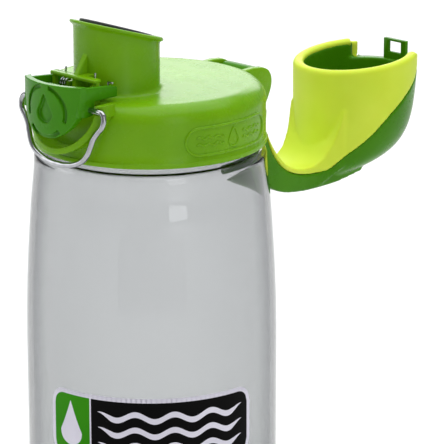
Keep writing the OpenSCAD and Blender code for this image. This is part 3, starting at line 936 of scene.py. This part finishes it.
def opened(x, y, z):
    """A point of the shut hood, swung to where it is when the hood is open."""
    dy, dz = y - PIN_Y, z - PIN_Z
    c, s = math.cos(-SWING), math.sin(-SWING)
    return (x, PIN_Y + dy * c - dz * s, PIN_Z + dy * s + dz * c)


def pad_point(x, v, w):
    """A point over the spout's mouth: x and v in its plane, w along its normal."""
    c, s = math.cos(MOUTH_TILT), math.sin(MOUTH_TILT)
    return opened(x, SPOUT_Y + v * c + w * s, MOUTH_H - v * s + w * c)


def pad_mesh():
    line = [(0, 1.5), (7.6, 1.5)] + arc(8.2, 1.75, 0.45, 200, 270, 4) + arc(9.3, 1.9, 0.7, -80, 0, 6)
    line += [(10.0, 9.9), (9.0, 11.0), (0, 11.0)]
    verts, faces, n, steps = [], [], len(line), 72
    for s in range(steps):
        a = 2 * math.pi * s / steps
        verts += [pad_point(r * math.cos(a), r * math.sin(a), w) for r, w in line]
    for s in range(steps):
        t = (s + 1) % steps
        faces += [(s * n + i, s * n + i + 1, t * n + i + 1, t * n + i) for i in range(n - 1)]
    return smooth_shade(to_object("hood_pad", verts, faces, CAP_Z), 40)


finish(pad_mesh(), core_green, "hood", "deep_green_plastic")

# %% [markdown]
# The grip is the lime skin: the outside of the cup down to the seam, a rolled
# rim, and a thin bead along the inside of the finger loop.

# %% Soft grip
def tube(name, path, rx, ry, sides=20):
    """A closed tube along a path that bends in one plane, with an oval section."""
    verts, faces, n = [], [], len(path)
    for p, across_dir, up_dir in path:
        for j in range(sides):
            t = 2 * math.pi * j / sides
            verts.append(tuple(p[k] + rx * math.cos(t) * across_dir[k] + ry * math.sin(t) * up_dir[k]
                               for k in range(3)))
    for i in range(n - 1):
        for j in range(sides):
            k = (j + 1) % sides
            faces.append((i * sides + j, i * sides + k, (i + 1) * sides + k, (i + 1) * sides + j))
    faces += [tuple(range(sides)), tuple(range(len(verts) - 1, len(verts) - 1 - sides, -1))]
    return to_object(name, verts, faces, CAP_Z)


def rim_path():
    """Round the rim from one side of the notch to the other."""
    (ry, rz), (fy, fz) = LEVELS[0][0], LEVELS[0][1]
    cy, cz, hy, hz = (ry + fy) / 2, (rz + fz) / 2, (fy - ry) / 2, (fz - rz) / 2
    length = math.hypot(hy, hz)
    ey, ez = hy / length, hz / length
    path = []
    for i in range(121):
        t = math.radians(52 + 256 * i / 120)
        a, b = RIM_A - 1.66, length - 1.66
        nx, ny = b * math.sin(t), a * math.cos(t)
        size = math.hypot(nx, ny)
        nx, ny = nx / size, ny / size
        point = (a * math.sin(t), cy + b * math.cos(t) * ey + 1.25 * ez, cz + b * math.cos(t) * ez - 1.25 * ey)
        path.append((point, (nx, ny * ey, ny * ez), (0.0, -ez, ey)))
    return path


def hood_grip_mesh():
    skin = cup("hood_grip_body", 0.0)
    joined(skin, above_seam(), "INTERSECT")
    joined(skin, cup("core_cup", GRIP), "DIFFERENCE")
    joined(skin, under_rim("rim_cut", 1.3), "DIFFERENCE")
    joined(skin, notch(), "DIFFERENCE")
    joined(skin, arm(16.8, arm_side()), "DIFFERENCE")
    joined(skin, tube("rim", rim_path(), 1.64, 1.22), "UNION")
    inner = spline(ARM_INNER[3:], 4)[::-1]
    bead = prism("bead", spline(BEAD, 5) + [(69.5, -12.5), (69.5, -20.6)] + inner, -8.4, 8.4, along_x, CAP_Z)
    joined(skin, bead, "UNION")
    for side in (-1, 1):
        joined(skin, web(side, SEAM[1:]), "UNION")
    return melt(skin, 0.38, 9)


BEAD = [(40.0, -3), (40.9, -6), (44.4, -11.4), (48.9, -15.8), (54.4, -18.1), (60, -18.4), (64.5, -16.4), (67.6, -12.5)]


def web(side, floor):
    """Where the loop widens into the cup: a plan outline kept above the seam."""
    plan = [(side * x, y) for x, y in WEB_PLAN]
    block = prism("web", plan, -26.0, -1.0, along_z, CAP_Z)
    top = spline([(54.4, -18.1), (60, -18.4), (64.5, -16.4), (68.5, -11.0), (71.0, -3.0)], 5)
    keep = wedge("keep", [p for p in floor if p[0] < 80] + [(80, -3.0)] + top[::-1])
    return joined(block, keep, "INTERSECT")


finish(hood_grip_mesh(), lime_grip, "hood", "lime_rubber", "hood_grip")

# %% [markdown]
# ## The button
# The button is a round plate bent to the cap's curve, with a drop and three
# ripples sunk about a millimetre deep. It could be cut with a bump texture,
# but real grooves keep their edges from every side. Two cheeks pivot on the
# wire's ends.

# %% Latch button
def plate_outline():
    return [(11.2, 23.4), (-11.2, 23.4)] + arc(0, 19.2, 11.2, 180, 360, 64)


def drop_outline(cx, cz, r, n=40):
    """A drop with a round bottom and a drawn-out tip."""
    out = []
    for i in range(n):
        t = 2 * math.pi * i / n
        up = max(math.sin(t), 0.0)
        out.append((cx + r * math.cos(t) * (1 - 0.55 * up ** 1.4), cz + r * math.sin(t) + 0.75 * r * up ** 3))
    return out


def ripple_outline(r0, r1, a0, a1):
    return arc(0, 15.6, r1, a0, a1, 24) + arc(0, 15.6, r0, a1, a0, 24)


def cut_deep(name, outline, depth):
    """A cutter that follows the plate's curve and stops at the given depth."""
    tool = prism(name, outline, -46, -32, along_y, CAP_Z)
    floor = lathe("floor", [(0, -5), (20.3 - depth, -5), (20.3 - depth, 40), (0, 40)], 160, (0, -20.7), CAP_Z)
    return joined(tool, floor, "DIFFERENCE")


def button_mesh():
    plate = prism("button_plate", plate_outline(), -44, -30, along_y, CAP_Z)
    sleeve = [(18.4, 4), (20.3, 4), (20.3, 26), (18.4, 26)]
    joined(plate, lathe("sleeve", sleeve, 192, (0, -20.7), CAP_Z), "INTERSECT")
    joined(plate, cut_deep("drop", drop_outline(0, 15.2, 3.0), 1.1), "DIFFERENCE")
    for a0 in (100, 220, 340):
        joined(plate, cut_deep("ripple", ripple_outline(6.5, 7.7, a0, a0 + 96), 0.95), "DIFFERENCE")
    melt(plate, 0.16, 3)
    cheek = [(-38.4, 15), (-35, 14.5), (-32.4, 14.9), (-31.9, 18.6), (-23.35, 18.6), (-23.35, 21.4), (-25.6, 22.0),
             (-37.4, 23.1), (-38.0, 19)]
    tooth = [(-32, 19.9), (-32, 20.4), (-36.5, 22.6), (-39.4, 22.6), (-39.4, 19.4)]
    extra = [slab("button_tooth", -2.1, 2.1, tooth, 0.12)]
    for side in (-1, 1):
        tag = "left" if side < 0 else "right"
        near, far = sorted((side * 9.7, side * 10.9))
        extra.append(slab("button_cheek_" + tag, near, far, cheek, 0.25))
    return plate, extra


button_plate, button_parts = button_mesh()
finish(button_plate, button_green, "button", "button_green_plastic", "latch_button")
for part in button_parts:
    finish(part, button_green, "button", "button_green_plastic")

# %% [markdown]
# ## Wire parts
# A spring and the bail are both cold-bent wire. The same sweep tree as the
# threads carries a round section along each path.

# %% Springs and bail
def spring_line(side):
    turns = [(5.9 + 2.3 * i / 110, -26 + 1.55 * math.cos(math.radians(180 - i * 8)),
              19.6 + 1.55 * math.sin(math.radians(180 - i * 8))) for i in range(111)]
    start = [(5.9, -26.9, 25.0), (5.9, -27.1, 22.6)]
    end = [(8.35, -24.3, 21.4), (8.7, -24.7, 22.54), (10.5, -24.8, 22.55)]
    return [(side * x, y, z + CAP_Z) for x, y, z in start + turns + end]


springs = swept("springs", [spring_line(-1), spring_line(1)], 0.29, steel, 12)
finish(springs, steel, "closure", "steel_wire", "latch_springs")

HALF_BAIL = [(15.3, 0), (16.2, 0.7), (16.6, 2.2), (16.1, 4), (14.6, 5.8), (13.2, 7.8), (12.4, 10), (11.4, 12.4),
             (9.4, 14.6), (6, 16.1), (2.4, 16.75), (0, 16.8)]


def bail_line():
    lean = math.radians(8)
    half = [(9.9, 0), (12.5, 0)] + spline(HALF_BAIL, 8)
    full = half + [(-x, d) for x, d in half[-2::-1]]
    return [(x, PIVOT[0] - d * math.sin(lean), PIVOT[1] - d * math.cos(lean) + CAP_Z) for x, d in full]


bail = swept("bail", [bail_line()], 0.79, steel, 24)
finish(bail, steel, "bail", "steel_wire", "lock_bail")
print("springs and bail:", len(springs.data.polygons), "and", len(bail.data.polygons), "faces")

# %% [markdown]
# ## Floor, light and camera
# A plain pale floor and a large soft light overhead, as in a product studio.
# Two tall side panels draw the long highlights on the clear wall.

# %% Studio
floor_mesh = bpy.data.meshes.new("floor")
floor_mesh.from_pydata([(-8, -8, 0), (8, -8, 0), (8, 8, 0), (-8, 8, 0)], [], [(0, 1, 2, 3)])
floor = bpy.data.objects.new("floor", floor_mesh)
bpy.context.scene.collection.objects.link(floor)
floor_mat, floor_tree, floor_shader = new_material("pale_floor")
grain = noise(floor_tree, 260, 3)
floor_tree.links.new(ramp(floor_tree, grain, (0.90, 0.90, 0.90), (0.93, 0.93, 0.93)), floor_shader.inputs["Base Color"])
floor_tree.links.new(spread(floor_tree, grain, 0.6, 0.7), floor_shader.inputs["Roughness"])
floor.data.materials.append(floor_mat)


def panel_light(name, place, size, power):
    """An area light that faces the middle of the cap."""
    data = bpy.data.lights.new(name, "AREA")
    data.shape = "RECTANGLE"
    data.size, data.size_y = size
    data.energy = power
    lamp = bpy.data.objects.new(name, data)
    bpy.context.scene.collection.objects.link(lamp)
    lamp.location = place
    aim = Vector((0, 0, CAP_Z * MM)) - lamp.location
    lamp.rotation_euler = aim.to_track_quat("-Z", "Y").to_euler()
    return lamp


panel_light("overhead", (0.0, 0.15, 1.15), (1.5, 1.5), 15.0)
panel_light("behind", (-0.95, 0.98, 0.62), (1.3, 0.6), 6.5)
panel_light("left", (-0.80, -0.70, 0.50), (0.4, 0.9), 2.2)
panel_light("right", (1.00, -0.35, 0.45), (0.35, 0.9), 1.8)

turn, rise = math.radians(44), math.radians(16.5)
back = Vector((math.sin(turn) * math.cos(rise), -math.cos(turn) * math.cos(rise), math.sin(rise)))
right = Vector((math.cos(turn), math.sin(turn), 0))
up = back.cross(right)
world = bpy.data.worlds.new("studio")
bpy.context.scene.world = world
world.use_nodes = True
world.node_tree.nodes["Background"].inputs["Color"].default_value = (1, 1, 1, 1)
world.node_tree.nodes["Background"].inputs["Strength"].default_value = 0.28
bpy.context.scene.view_settings.view_transform = "Standard"

camera_data = bpy.data.cameras.new("camera")
camera_data.sensor_width = 36
camera_data.lens = 227.03
camera_data.clip_start = 0.01
camera = bpy.data.objects.new("camera", camera_data)
bpy.context.scene.collection.objects.link(camera)
DISTANCE, SHIFT_RIGHT, SHIFT_DOWN = 0.8, 0.02043, 0.02371
eye = Vector((0, 0, 0.1375)) + DISTANCE * back + SHIFT_RIGHT * right - SHIFT_DOWN * up
camera.matrix_world = Matrix((
    (right.x, up.x, back.x, eye.x), (right.y, up.y, back.y, eye.y), (right.z, up.z, back.z, eye.z), (0, 0, 0, 1)))
bpy.context.scene.camera = camera
print("camera at", [round(v, 3) for v in camera.location])
